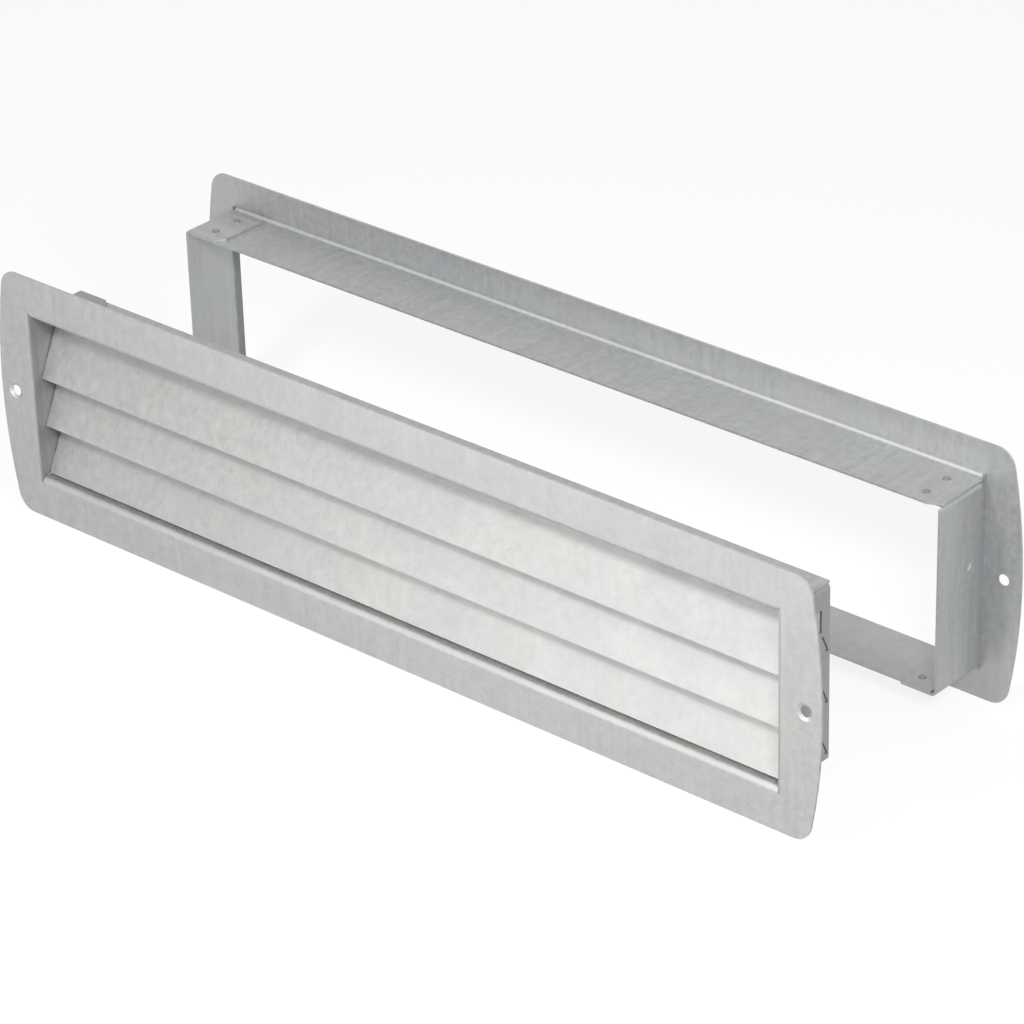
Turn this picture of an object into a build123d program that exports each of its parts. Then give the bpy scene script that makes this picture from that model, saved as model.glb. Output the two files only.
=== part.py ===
from build123d import *
import math
import os

# A two-piece telescopic vent grille for a door, folded from sheet metal.
# The front grille carries three inverted-V louvre blades in a shallow sleeve.
# The rear frame is an open sleeve that slides over the front one through the
# cut-out, until both face plates clamp the door. Millimetres, +Z up, +X along
# the grille, +Y into the door. The origin is the centre of the front face
# plate, on the side that seats against the door.

# Face plates
plate_length = 455.0
plate_height = 118.0
end_bow = 6.5
corner_radius = 9.0
sheet = 1.0
bend_inside = 1.5
corner_relief = 0.3
root_gap = 0.2

# Borders of the front plate round its sleeve, and the sleeve's depth
end_border = 20.0
long_border = 18.8
front_depth = 30.0

# Countersunk screw holes, one in each end of a plate
hole_radius = 2.5
hole_edge = 8.4
sink_radius = 4.0
hole_land = 0.2

# End cheeks: a wall with two lapped corner tabs
tab_length = 21.5
tab_start = 2.6
inner_tab_start = 6.0
inner_tab_setback = 3.0
tab_chamfer = 4.0
clip_length = 6.5
clip_depth = 3.0
wall_end_gap = 0.3

# Corner rivets, flat at both ends, and the round dimple in a rear cheek
rivet_radius = 1.6
rivet_proud = 0.3
rivet_hole_gap = 0.1
rivet_edge = 4.2
rivet_inset = 12.0
dimple_radius = 2.0
dimple_floor_radius = 1.2
dimple_depth = 0.4
dimple_y = 11.0
dimple_z = 7.5

# Louvre blades. They share the height of the front sleeve, and the ridge of
# each one stands a little higher than the lower edges of the one above it.
blade_count = 3
blade_sheet = 1.0
blade_bend = 1.0
blade_front_gap = 3.5
blade_back_gap = 0.5
blade_low_gap = 0.75
blade_top_gap = 5.65
blade_overlap = 1.8
blade_end_gap = 0.3
blade_tab_low = 1.5
blade_tab_high = 8.4
blade_tab_recess = 0.6
slot_gap = 0.3
window_low = 10.9
window_high = 20.9

# Rear frame: running gaps to the front sleeve, and the spread of the two
# plates as they stand apart
slide_gap_x = 0.6
slide_gap_z = 0.5
rear_depth = 31.0
spread = 130.0

# Sizes that follow from the ones above
bend_outside = bend_inside + sheet
front_half_x = plate_length / 2 - end_border
front_half_z = plate_height / 2 - long_border
rear_half_x = front_half_x + slide_gap_x + sheet
rear_half_z = front_half_z + 2 * sheet + 2 * rivet_proud + slide_gap_z
hole_x = plate_length / 2 - hole_edge
blade_span = front_depth - blade_front_gap - blade_back_gap
sleeve_height = 2 * (front_half_z - sheet)
blade_pitch = (sleeve_height - blade_low_gap - blade_top_gap - blade_overlap) / blade_count
blade_floor = -front_half_z + sheet + blade_low_gap


def plate_outline():
    """Long straight edges, short ends bowed outwards, four rounded corners."""
    x = plate_length / 2 - end_bow
    z = plate_height / 2
    top = Line((-x, z), (x, z))
    right = ThreePointArc((x, z), (plate_length / 2, 0), (x, -z))
    bottom = Line((x, -z), (-x, -z))
    left = ThreePointArc((-x, -z), (-plate_length / 2, 0), (-x, z))
    face = make_face(top + right + bottom + left)
    return fillet(face.vertices(), corner_radius)


def fold_section(half_z, depth):
    """Section of the bend that joins a long wall to the plate, to a depth."""
    centre_z = half_z + bend_inside
    mid = math.sqrt(0.5)
    outer = ThreePointArc(
        (bend_inside, half_z - sheet),
        (bend_inside - bend_outside * mid, centre_z - bend_outside * mid),
        (-sheet, centre_z),
    )
    inner = ThreePointArc(
        (0, centre_z),
        (bend_inside - bend_inside * mid, centre_z - bend_inside * mid),
        (bend_inside, half_z),
    )
    lines = Line((-sheet, centre_z), (0, centre_z)) + Line((bend_inside, half_z), (depth, half_z))
    lines += Line((depth, half_z), (depth, half_z - sheet))
    lines += Line((depth, half_z - sheet), (bend_inside, half_z - sheet))
    return make_face(outer + inner + lines)


def span_box(x0, x1, y0, y1, z0, z1):
    """A box between two corners, whichever order they come in."""
    size = (abs(x1 - x0), abs(y1 - y0), abs(z1 - z0))
    return Pos((x0 + x1) / 2, (y0 + y1) / 2, (z0 + z1) / 2) * Box(*size)


def cylinder_z(radius, x, y, z0, z1):
    """An upright cylinder from z0 to z1."""
    return Pos(x, y, (z0 + z1) / 2) * Cylinder(radius, abs(z1 - z0))


def corner_cut(x, y, along_x, along_y, z):
    """A prism that cuts a corner off a flat sheet, along_x and along_y from it."""
    spare = 0.2
    out_x = x - along_x * spare
    out_y = y + along_y * spare
    far_x = x + along_x * (1 + spare)
    far_y = y - along_y * (1 + spare)
    face = make_face(Polyline((out_x, out_y), (far_x, out_y), (out_x, far_y), close=True))
    return Pos(0, 0, z - 2 * sheet) * extrude(face, 4 * sheet)


def rivet_places(half_x, depth):
    """Where the corner rivets stand: x of each side, two depths."""
    near = inner_tab_start + rivet_edge
    far = depth - inner_tab_setback - rivet_edge
    return [(side * (half_x - rivet_inset), y) for side in (-1, 1) for y in (near, far)]


def face_plate(half_x, half_z, depth):
    """Face plate with its window and the two long walls folded from it.

    The top wall lies under the cheek's tab at the left end and over it at the
    right end, and the bottom wall the other way round. The cheeks' roots stand
    in the ends of the window.
    """
    opening_height = 2 * (half_z + bend_inside)
    plate = Pos(0, -sheet, 0) * extrude(Plane.XZ * plate_outline(), -sheet)
    plate -= Box(2 * half_x, 4 * sheet, opening_height)

    root = half_x - sheet - corner_relief
    fold = extrude(Plane.YZ * fold_section(half_z, tab_start - root_gap), root, both=True)
    under = half_x - bend_outside - wall_end_gap
    over = half_x - wall_end_gap
    for turn in (0, 180):
        wall = fold + span_box(-under, over, tab_start - sheet, depth, half_z - sheet, half_z)
        plate += Rot(0, turn, 0) * wall

    # Countersinks open on the show face and leave a short land behind
    sink_depth = sheet - hole_land
    for x in (-hole_x, hole_x):
        sink = Cone(sink_radius, hole_radius, sink_depth, align=(Align.CENTER, Align.CENTER, Align.MIN))
        plate -= Pos(x, -sheet, 0) * Rot(-90, 0, 0) * sink
        plate -= Pos(x, 0, 0) * Rot(90, 0, 0) * Cylinder(hole_radius, 4 * sheet)

    for x, y in rivet_places(half_x, depth):
        plate -= cylinder_z(rivet_radius + rivet_hole_gap, x, y, -half_z - sheet, half_z + sheet)
    return plate


def cheek(side, half_x, half_z, depth):
    """End wall of a sleeve with one tab outside and one inside the long walls.

    The left cheek laps over the top wall and the right one under it, so the
    two are the same pressing turned half round.
    """
    # Drawn as the right cheek: outer tab below, inner tab above
    high = half_z - sheet
    low = -half_z - sheet
    radius = bend_outside
    tip = half_x - tab_length
    section = make_face(
        Polyline(
            (tip, high),
            (half_x, high),
            (half_x, low),
            (tip, low),
            (tip, low + sheet),
            (half_x - sheet, low + sheet),
            (half_x - sheet, high - sheet),
            (tip, high - sheet),
            close=True,
        )
    )
    outer = [v for v in section.vertices() if v.X > half_x - sheet / 2]
    section = fillet(outer, radius)
    inner = [v for v in section.vertices() if abs(v.X - half_x + sheet) < 0.01]
    section = fillet(inner, bend_inside)
    body = Pos(0, depth, 0) * extrude(Plane.XZ * section, depth - tab_start)

    # Both tabs have a chamfered corner. The outer one ends flush with the
    # sleeve, and the inner one stands back at both ends, clear of the blades.
    wall_face = half_x - sheet
    tab_end = depth - inner_tab_setback
    body -= span_box(tip - 1, wall_face, tab_end, depth + 1, high - radius, high + sheet)
    body -= span_box(tip - 1, wall_face, tab_start - 1, inner_tab_start, high - radius, high + sheet)
    body -= corner_cut(tip, tab_end, tab_chamfer, tab_chamfer, high)
    body -= corner_cut(tip, depth, tab_chamfer, tab_chamfer, low)

    # Root of the wall, which fills the end of the plate's window
    root_z = half_z - sheet - root_gap
    window_z = half_z + bend_inside
    body += span_box(wall_face, half_x, -sheet, tab_start, -root_z, root_z)
    body += span_box(wall_face, half_x, -sheet, tab_start - sheet - root_gap, -window_z, window_z)

    for x, y in rivet_places(half_x, depth):
        body -= cylinder_z(rivet_radius + rivet_hole_gap, x, y, low - 1, high + 1)
    return body if side > 0 else Rot(0, 180, 0) * body


def corner_rivets(half_x, half_z, depth):
    """Eight rivets, two in each lapped corner, a little proud of both sheets."""
    rivets = []
    for x, y in rivet_places(half_x, depth):
        for z in (-1, 1):
            tab_outside = x * z < 0
            top = half_z + (sheet if tab_outside else 0)
            low = top - 2 * sheet
            rivets.append(cylinder_z(rivet_radius, x, y, z * (low - rivet_proud), z * (top + rivet_proud)))
    return Compound(rivets)


def sharp_rise():
    """Rise of the legs to where they would meet without the rounded ridge."""
    half = blade_span / 2
    radius = blade_bend + blade_sheet
    share = radius / half
    height = blade_pitch + blade_overlap - radius
    left = 1 - share**2
    return (height + share * math.sqrt(height**2 + left * half**2)) / left


def blade_section(grow):
    """Inverted-V section of a blade, swelled by grow on every side."""
    half = blade_span / 2
    rise = sharp_rise()
    slope = math.atan2(rise, half)
    along_y = grow * math.sin(slope)
    along_z = grow * math.cos(slope)
    thick = blade_sheet + 2 * grow
    in_y = thick * math.sin(slope)
    in_z = thick * math.cos(slope)
    out_y = -half - along_y - grow * math.cos(slope)
    out_z = along_z - grow * math.sin(slope)
    top = rise + grow / math.cos(slope)
    under = top - thick / math.cos(slope)
    section = make_face(
        Polyline(
            (out_y, out_z),
            (0, top),
            (-out_y, out_z),
            (-out_y - in_y, out_z - in_z),
            (0, under),
            (out_y + in_y, out_z - in_z),
            close=True,
        )
    )
    apex = [v for v in section.vertices() if abs(v.X) < 0.01]
    apex.sort(key=lambda v: v.Y)
    section = fillet(apex[0], blade_bend - grow)
    apex = [v for v in section.vertices() if abs(v.X) < 0.01]
    return fillet(apex[0], blade_bend + blade_sheet + grow)


def blade_place(row):
    """Where a blade's section stands, counted from the top of the sleeve."""
    z = blade_floor + (blade_count - 1 - row) * blade_pitch
    return Pos(0, blade_front_gap + blade_span / 2, z)


def blade(row):
    """One blade with a tab at both ends of each leg."""
    length = 2 * (front_half_x - sheet - blade_end_gap)
    reach = 2 * (front_half_x - blade_tab_recess)
    section = Plane.YZ * blade_section(0)
    body = extrude(section, length / 2, both=True)
    tabs = extrude(section, reach / 2, both=True)
    tabs &= leg_band(reach, blade_tab_low, blade_tab_high)
    return blade_place(row) * (body + tabs)


def leg_band(reach, low, high):
    """A block over a blade's section between two heights."""
    return Pos(0, 0, (low + high) / 2) * Box(reach, 2 * blade_span, high - low)


def blade_slots(row):
    """The slots that a blade's tabs enter, and a window above the rear one."""
    reach = 2 * (front_half_x + sheet)
    slots = extrude(Plane.YZ * blade_section(slot_gap), reach / 2, both=True)
    slots &= leg_band(reach, blade_tab_low - slot_gap, blade_tab_high + slot_gap)
    slope = sharp_rise() / (blade_span / 2)
    outside = blade_span / 2 - window_low / slope + slot_gap
    inside = blade_span / 2 - window_high / slope
    slots += span_box(-reach / 2, reach / 2, inside, outside, window_low, window_high)
    return blade_place(row) * slots


def dimpled(side, piece):
    """A rear cheek, drawn as a front one, with a dimple in its outer face."""
    dimple = Cone(dimple_floor_radius, dimple_radius, dimple_depth, align=(Align.CENTER, Align.CENTER, Align.MAX))
    place = Pos(rear_half_x, dimple_y, dimple_z) * Rot(0, 90, 0) * dimple
    return piece - (place if side > 0 else Rot(0, 180, 0) * place)


def clipped(plate):
    """A rear plate, drawn as a front one, its walls' free corners cut off."""
    corner = corner_cut(rear_half_x - wall_end_gap, rear_depth, -clip_length, clip_depth, rear_half_z)
    for turn in (0, 180):
        plate -= Rot(0, turn, 0) * corner
    return plate


def to_rear(piece):
    """Turns a piece drawn as a front one to face the other side of the door."""
    return Pos(0, spread, 0) * mirror(piece, about=Plane.XZ)


front_left = cheek(-1, front_half_x, front_half_z, front_depth)
front_right = cheek(1, front_half_x, front_half_z, front_depth)
nodes = {
    "front_face_plate": face_plate(front_half_x, front_half_z, front_depth),
    "front_corner_rivets": corner_rivets(front_half_x, front_half_z, front_depth),
    "rear_face_plate": to_rear(clipped(face_plate(rear_half_x, rear_half_z, rear_depth))),
    "rear_left_cheek": to_rear(dimpled(-1, cheek(-1, rear_half_x, rear_half_z, rear_depth))),
    "rear_right_cheek": to_rear(dimpled(1, cheek(1, rear_half_x, rear_half_z, rear_depth))),
    "rear_corner_rivets": to_rear(corner_rivets(rear_half_x, rear_half_z, rear_depth)),
}
for row in range(blade_count):
    front_left -= blade_slots(row)
    front_right -= blade_slots(row)
    nodes[f"louvre_blade_{row + 1}"] = blade(row)
nodes["front_left_cheek"] = front_left
nodes["front_right_cheek"] = front_right

os.makedirs("parts", exist_ok=True)
for name, shape in nodes.items():
    export_step(shape, f"parts/{name}.step")
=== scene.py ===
from math import radians

import bpy
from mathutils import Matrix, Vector


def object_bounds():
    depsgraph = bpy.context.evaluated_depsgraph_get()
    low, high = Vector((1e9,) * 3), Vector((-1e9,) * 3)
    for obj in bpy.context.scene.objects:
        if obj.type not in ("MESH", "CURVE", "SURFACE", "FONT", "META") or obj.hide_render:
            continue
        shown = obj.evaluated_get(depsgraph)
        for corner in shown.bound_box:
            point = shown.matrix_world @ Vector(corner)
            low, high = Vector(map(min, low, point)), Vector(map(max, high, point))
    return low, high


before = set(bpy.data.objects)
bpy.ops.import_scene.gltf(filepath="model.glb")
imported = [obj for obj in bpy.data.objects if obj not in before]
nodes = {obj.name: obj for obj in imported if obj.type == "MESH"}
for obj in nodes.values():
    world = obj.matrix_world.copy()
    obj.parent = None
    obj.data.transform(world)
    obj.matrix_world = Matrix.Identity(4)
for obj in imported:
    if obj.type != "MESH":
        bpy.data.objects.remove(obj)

cad_low, cad_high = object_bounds()
bpy.ops.object.select_all(action="DESELECT")

# Camera: a long lens from the front right and above. The edges of both plates
# and sleeves give its place and its turn.
view_place = (1.0937, -1.1422, 0.8727)
view_turn = (radians(61.389), radians(1.495), radians(41.017))
bpy.ops.object.camera_add(location=view_place, rotation=view_turn)
camera = bpy.context.object
camera.name = "camera"
camera.data.lens = 154.15
camera.data.sensor_width = 36.0
camera.data.clip_end = 40.0
bpy.context.scene.camera = camera
bpy.context.scene.view_settings.view_transform = "Standard"

# Floor: a sheet of white paper that runs out of sight. Both halves stand on the
# lower edges of their plates, so the paper lies at the lowest point.
bpy.ops.mesh.primitive_plane_add(size=16, location=(0, 0, cad_low[2]))
floor = bpy.context.object
floor.name = "studio_floor"
bpy.ops.object.transform_apply(location=True, rotation=False, scale=False)


class Wire:
    """A node's output. Arithmetic on it adds Math nodes to its tree."""

    def __init__(self, tree, socket):
        self.tree = tree
        self.socket = socket

    def __getitem__(self, output):
        return Wire(self.tree, self.socket.node.outputs[output])

    def __add__(self, other):
        return self.tree.maths("ADD", self, other)

    def __sub__(self, other):
        return self.tree.maths("SUBTRACT", self, other)

    def __rsub__(self, other):
        return self.tree.maths("SUBTRACT", other, self)

    def __mul__(self, other):
        return self.tree.maths("MULTIPLY", self, other)

    def __abs__(self):
        return self.tree.maths("ABSOLUTE", self)

    __radd__ = __add__
    __rmul__ = __mul__


class Tree:
    """The node tree of a material or of the world, built one node at a time."""

    def __init__(self, owner):
        self.owner = owner
        self.owner.use_nodes = True
        self.nodes = owner.node_tree.nodes
        self.links = owner.node_tree.links

    def feed(self, socket, value):
        """Links a wire to a socket, or writes a plain value into it."""
        if isinstance(value, Wire):
            self.links.new(value.socket, socket)
        else:
            socket.default_value = value

    def node(self, kind, settings, sockets):
        """Adds a node: its settings first, then its sockets' values or links."""
        made = self.nodes.new(kind)
        for name, value in settings.items():
            setattr(made, name, value)
        for name, value in sockets.items():
            self.feed(made.inputs[name], value)
        return Wire(self, made.outputs[0])

    def maths(self, operation, *values):
        return self.node("ShaderNodeMath", {"operation": operation}, dict(enumerate(values)))

    def shader(self, values):
        """Sets sockets of the Principled BSDF that the tree came with."""
        for name, value in values.items():
            self.feed(self.nodes["Principled BSDF"].inputs[name], value)
        return Wire(self, self.nodes["Principled BSDF"].outputs[0])

    def backdrop(self, lit, white, share):
        """Ends the tree on a shader that is white to the eye and to metal."""
        ray = self.node("ShaderNodeLightPath", {}, {})
        seen = ray["Is Camera Ray"] + ray["Is Glossy Ray"] + ray["Is Transmission Ray"]
        factor = self.maths("MINIMUM", seen, 1.0) * share
        mixed = self.node("ShaderNodeMixShader", {}, {0: factor, 1: lit, 2: white})
        end = next(n for n in self.nodes if n.type in ("OUTPUT_MATERIAL", "OUTPUT_WORLD"))
        self.links.new(mixed.socket, end.inputs["Surface"])


white = (1.0, 1.0, 1.0, 1)
paper = Tree(bpy.data.materials.new("studio_paper"))
paper_look = {"Base Color": (0.82, 0.82, 0.82, 1), "Roughness": 0.9, "Specular IOR Level": 0.1}
paper_lit = paper.shader(paper_look)
paper_white = paper.node("ShaderNodeEmission", {}, {"Color": white})
paper_white_share = 0.85
paper.backdrop(paper_lit, paper_white, paper_white_share)
floor.data.materials.append(paper.owner)

# World: a pale, slightly cool studio that lights softly from all round and is
# plain white behind the grille and in its metal.
bpy.context.scene.world = bpy.data.worlds.new("studio_world")
studio = Tree(bpy.context.scene.world)
studio_look = {"Color": (0.93, 0.96, 1.0, 1), "Strength": 0.62}
studio_lit = studio.node("ShaderNodeBackground", {}, studio_look)
studio_white = studio.node("ShaderNodeBackground", {}, {"Color": white})
studio.backdrop(studio_lit, studio_white, 1.0)


# Lamps: two soft boxes above the grille, one past its right end and one in front,
# and two small ones near the floor that light the borders along the window. The
# camera doesn't see them.
def soft_box(name, place, aim, power, colour):
    """A square lamp that looks at a point near the front plate."""
    turn = (Vector(aim) - Vector(place)).to_track_quat("-Z", "Y").to_euler()
    bpy.ops.object.light_add(type="AREA", location=place, rotation=turn)
    lamp = bpy.context.object
    lamp.name = name
    lamp.visible_camera = False
    lamp.data.size = 0.12
    lamp.data.energy = power
    lamp.data.color = colour


middle = (0.1, 0.0, 0.03)
upper_right = (0.2, 0.0, 0.05)
warm_light = (1.0, 0.99, 0.97)
plain_light = (1.0, 1.0, 1.0)
soft_box("right_lamp", (0.6, -0.3, 0.42), middle, 5.0, warm_light)
soft_box("front_lamp", (0.0, -0.5, 0.6), middle, 5.2, warm_light)
soft_box("low_left_lamp", (-0.25, -0.5, -0.02), upper_right, 0.75, plain_light)
soft_box("low_lamp", (0.0, -0.4, -0.02), upper_right, 0.36, plain_light)


# Front face plate: one sheet of mill-finish aluminium, sheared, pierced and
# countersunk, with its two long walls folded back from the window. Rolling has
# left fine lines up the sheet and over the folds, and a cloudy skin.
class Sheet(Tree):
    """A rolled sheet's finish, to which a piece adds its own marks."""

    def __init__(self, name, grain, streaks, patches, mottle):
        """grain is how often the lines change along X, Y and Z, per metre.

        patches is how often the crystal patches change, and streaks and mottle
        are how far the lines and the patches move the grey.
        """
        super().__init__(bpy.data.materials.new(name))
        self.place = self.node("ShaderNodeTexCoord", {}, {})["Object"]
        self.normal = self.node("ShaderNodeNewGeometry", {}, {})["Normal"]
        specks = 1500.0
        clouds = 42.0
        stains = 27.0
        matt = 0.60
        lined = self.node("ShaderNodeMapping", {}, {"Vector": self.place, "Scale": grain})
        streak = self.noise(lined, 1.0, 5.0, 0.62) - 0.5
        patch = self.noise(self.place, patches, 3.0, 0.6) - 0.5
        speck = self.noise(self.place, specks, 1.0, 0.5) - 0.5
        cloud = self.noise(self.place, clouds, 2.0, 0.5) - 0.5
        self.shade = 1.0 + streak * streaks + patch * mottle + speck * 0.12 + cloud * 0.10
        self.rough = matt + patch * 0.16 + streak * 0.14 - cloud * 0.08
        self.relief = streak * streaks + patch * mottle * 1.6 + speck * 0.06
        self.stain = self.noise(self.place, stains, 3.0, 0.6)

    def noise(self, place, scale, detail, roughness):
        sockets = {"Vector": place, "Scale": scale, "Detail": detail, "Roughness": roughness}
        return self.node("ShaderNodeTexNoise", {}, sockets)

    def at(self, axis):
        """The place along one axis, in metres."""
        return self.node("ShaderNodeSeparateXYZ", {}, {"Vector": self.place})[axis]

    def facing(self, axis):
        """How far the surface faces along one axis, from -1 to 1."""
        return self.node("ShaderNodeSeparateXYZ", {}, {"Vector": self.normal})[axis]

    def fade(self, value, start, end):
        """0 at start and 1 at end, with a smooth rise between them."""
        settings = {"interpolation_type": "SMOOTHSTEP"}
        return self.node("ShaderNodeMapRange", settings, {"Value": value, 1: start, 2: end})

    def spot(self, across, up, inner, outer):
        """1 within the inner radius of a round mark and 0 past the outer one."""
        off_axis = self.maths("SQRT", across * across + up * up)
        return 1 - self.fade(off_axis, inner, outer)

    def mark(self, where, lighter=0.0, rougher=0.0):
        """Makes the sheet lighter and rougher where a mask is 1."""
        self.shade = self.shade + lighter * where
        self.rough = self.rough + rougher * where

    def mix(self, blend, factor, first, second):
        settings = {"data_type": "RGBA", "blend_type": blend}
        sockets = {"Factor": factor, "A": first, "B": second}
        return self.node("ShaderNodeMix", settings, sockets)["Result"]

    def wear(self, node_names, grey, depth=0.0005):
        """Closes the finish in a grey, cooler where dark, and puts it on nodes.

        depth is how deep the bumps of the skin are, in metres.
        """
        red, green, blue = grey
        dark = (red * 0.494, green * 0.5, blue * 0.505, 1)
        light = (red * 1.508, green * 1.5, blue * 1.488, 1)
        cool = (0.964, 0.981, 1.018, 1)
        warm = (1.018, 1.014, 0.981, 1)
        skin = self.mix("MIX", self.shade - 0.5, dark, light)
        tint = self.mix("MIX", self.stain, cool, warm)
        colour = self.mix("MULTIPLY", 1.0, skin, tint)
        sockets = {"Strength": 0.5, "Distance": depth, "Height": self.relief}
        bump = self.node("ShaderNodeBump", {}, sockets)
        self.shader({"Base Color": colour, "Roughness": self.rough, "Normal": bump})
        self.shader({"Metallic": 1.0, "Specular Tint": (0.5, 0.5, 0.5, 1)})
        for name in node_names:
            nodes[name].data.materials.clear()
            nodes[name].data.materials.append(self.owner)


def face_finish(name):
    """The sheet of a face plate, bright on its sheared rim, dull on its folds."""
    finish = Sheet(name, grain=(420.0, 24.0, 24.0), streaks=0.20, patches=340.0, mottle=0.26)
    sheared = 1 - abs(finish.facing("Y"))
    near_rim = finish.fade(abs(finish.at("Z")), 0.050, 0.052)
    finish.mark(sheared * near_rim, lighter=0.12)
    across_fold = finish.facing("Y") * finish.facing("Z")
    finish.mark(4 * across_fold * across_fold, rougher=0.12)
    return finish


front_finish = face_finish("mill_sheet_front")
hole_x = 0.2191
sink_radius = 0.0040
across = abs(front_finish.at("X")) - hole_x
up = front_finish.at("Z")
sink = front_finish.spot(across, up, sink_radius - 0.0002, sink_radius + 0.0001)
front_finish.mark(sink, lighter=0.10, rougher=-0.12)
front_finish.wear(["front_face_plate"], (0.414, 0.415, 0.413))

# Rear face plate: the same pressing as the front one with a larger window and no
# blades, a little cooler in tone. Its long walls are folded forward from it.
rear_finish = face_finish("mill_sheet_rear")
rear_finish.wear(["rear_face_plate"], (0.436, 0.442, 0.448))


# Cheeks: the end walls of both sleeves, bent from strip whose lines run up them.
# Their roots are welded into the plates' windows, and painted shade darkens the metal
# there, most on the inner faces. Each rear one has a struck dimple with a painted
# highlight on its floor.
def cheek_finish(name, seat_y, painted_shade_amount):
    """The sheet of a cheek, with painted shade where its root meets the plate."""
    finish = Sheet(name, grain=(14.0, 420.0, 14.0), streaks=0.30, patches=340.0, mottle=0.16)
    ragged = 0.0015 * (finish.noise(finish.place, 160.0, 2.0, 0.5) - 0.5)
    from_seat = abs(finish.at("Y") - seat_y) + ragged
    shade_core_end = 0.0022
    shade_fade_end = 0.0044
    inside = finish.fade(finish.at("X") * finish.facing("X"), 0.05, -0.05)
    # Painted shade near the root, strongest on the cheek's inner face.
    painted_root_shade = (1 - finish.fade(from_seat, shade_core_end, shade_fade_end)) * (0.15 + 0.85 * inside)
    finish.mark(painted_root_shade, lighter=-painted_shade_amount, rougher=0.10)
    return finish


front_seat_y = 0.0
front_cheek_finish = cheek_finish("mill_sheet_front_cheek", front_seat_y, 0.08)
# The front cheeks' grey is set darker than the plates' as painted shade.
front_cheek_finish.wear(["front_left_cheek", "front_right_cheek"], (0.340, 0.346, 0.355))

rear_seat_y = 0.130
rear_cheek_finish = cheek_finish("mill_sheet_rear_cheek", rear_seat_y, 0.42)
dimple_y = 0.119
dimple_z = 0.0075
dimple_radius = 0.0020
side = rear_cheek_finish.maths("SIGN", rear_cheek_finish.at("X"))
along = rear_cheek_finish.at("Y") - dimple_y
up = side * rear_cheek_finish.at("Z") - dimple_z
# A painted highlight on the floor of each rear cheek's dimple, on its outer face.
painted_dimple_highlight = rear_cheek_finish.spot(along, up, dimple_radius - 0.0006, dimple_radius + 0.0002)
outside = rear_cheek_finish.fade(side * rear_cheek_finish.facing("X"), 0.0, 0.1)
rear_cheek_finish.mark(painted_dimple_highlight * outside, lighter=0.14, rougher=-0.08)
# The rear cheeks' grey is set lighter than the plates' as painted light.
rear_cheek_finish.wear(["rear_left_cheek", "rear_right_cheek"], (0.452, 0.459, 0.466))

# Louvre blades: three strips folded to an upturned V, held by their end tabs in
# the cheeks' slots. Their skin is cloudier, and the fold is lighter where it faces up,
# a painted highlight.
blade_finish = Sheet(
    "mill_sheet_blade", grain=(260.0, 120.0, 120.0), streaks=0.08, patches=230.0, mottle=0.32
)
# Painted highlight along the part of the fold that faces up.
painted_fold_highlight = blade_finish.fade(blade_finish.facing("Z"), 0.80, 0.97)
blade_finish.mark(painted_fold_highlight, lighter=0.04)
blades = ["louvre_blade_1", "louvre_blade_2", "louvre_blade_3"]
blade_finish.wear(blades, (0.384, 0.384, 0.381), depth=0.0009)

# Corner rivets: soft aluminium pins pressed flat on both sides of the lapped
# corners, darker than the sheet and free of its lines.
rivet_finish = Sheet(
    "rivet_aluminium", grain=(300.0, 300.0, 300.0), streaks=0.10, patches=500.0, mottle=0.16
)
rivet_finish.wear(["front_corner_rivets", "rear_corner_rivets"], (0.320, 0.326, 0.334))
